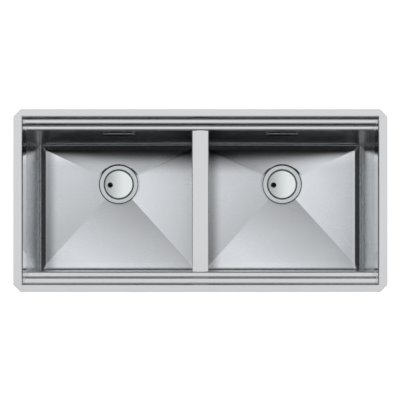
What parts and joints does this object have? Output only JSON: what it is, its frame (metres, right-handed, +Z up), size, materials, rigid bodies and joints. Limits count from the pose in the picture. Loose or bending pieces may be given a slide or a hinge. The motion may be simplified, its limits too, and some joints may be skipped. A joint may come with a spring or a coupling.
{
  "type": "kitchen sink",
  "caption": "Rectangular undermount double-bowl workstation sink with stepped front and rear ledges, low divider, falling floors, lidded basket wastes and overflows.",
  "frame": {"origin": "middle of the rim's top face, the plane that meets the worktop", "axes": "+X to the right along the long side, +Y to the rear, where the overflows are, +Z up out of the bowls"},
  "size_m": [0.94, 0.46, 0.3002],
  "materials": {
    "brushed_sheet": "satin brushed stainless sheet",
    "waste_steel": "fine satin pressed stainless",
    "seal_rubber": "matt black rubber",
    "damping_pad": "matt grey damping mat",
    "moulded_plastic": "matt moulded polypropylene"
  },
  "bodies": {
    "sink": {"rim_frame": "brushed_sheet", "rear_ledge_rail": "brushed_sheet", "front_ledge_rail": "brushed_sheet", "left_end_plate": "brushed_sheet", "right_end_plate": "brushed_sheet", "bridge": "brushed_sheet", "left_bowl": "brushed_sheet", "right_bowl": "brushed_sheet", "strainer_flanges": "waste_steel", "waste_seals": "seal_rubber", "waste_bodies": "moulded_plastic", "overflow_covers": "brushed_sheet", "left_floor_pad": "damping_pad", "left_side_pad": "damping_pad", "left_front_pad": "damping_pad", "left_overflow_gasket": "seal_rubber", "left_overflow_box": "moulded_plastic", "left_overflow_pipe": "moulded_plastic", "right_floor_pad": "damping_pad", "right_side_pad": "damping_pad", "right_front_pad": "damping_pad", "right_overflow_gasket": "seal_rubber", "right_overflow_box": "moulded_plastic", "right_overflow_pipe": "moulded_plastic"},
    "left_basket_unit": {"left_basket": "waste_steel", "left_basket_seal": "seal_rubber"},
    "left_lid_unit": {"left_lid": "waste_steel"},
    "right_basket_unit": {"right_basket": "waste_steel", "right_basket_seal": "seal_rubber"},
    "right_lid_unit": {"right_lid": "waste_steel"}
  },
  "joints": [
    {"name": "left_basket_lift", "type": "slide", "parent": "sink", "child": "left_basket_unit", "axis": [0, 0, 1], "range_m": [0, 0.26]},
    {"name": "left_lid_lift", "type": "slide", "parent": "left_basket_unit", "child": "left_lid_unit", "axis": [0, 0, 1], "range_m": [0, 0.22]},
    {"name": "right_basket_lift", "type": "slide", "parent": "sink", "child": "right_basket_unit", "axis": [0, 0, 1], "range_m": [0, 0.26]},
    {"name": "right_lid_lift", "type": "slide", "parent": "right_basket_unit", "child": "right_lid_unit", "axis": [0, 0, 1], "range_m": [0, 0.22]}
  ]
}
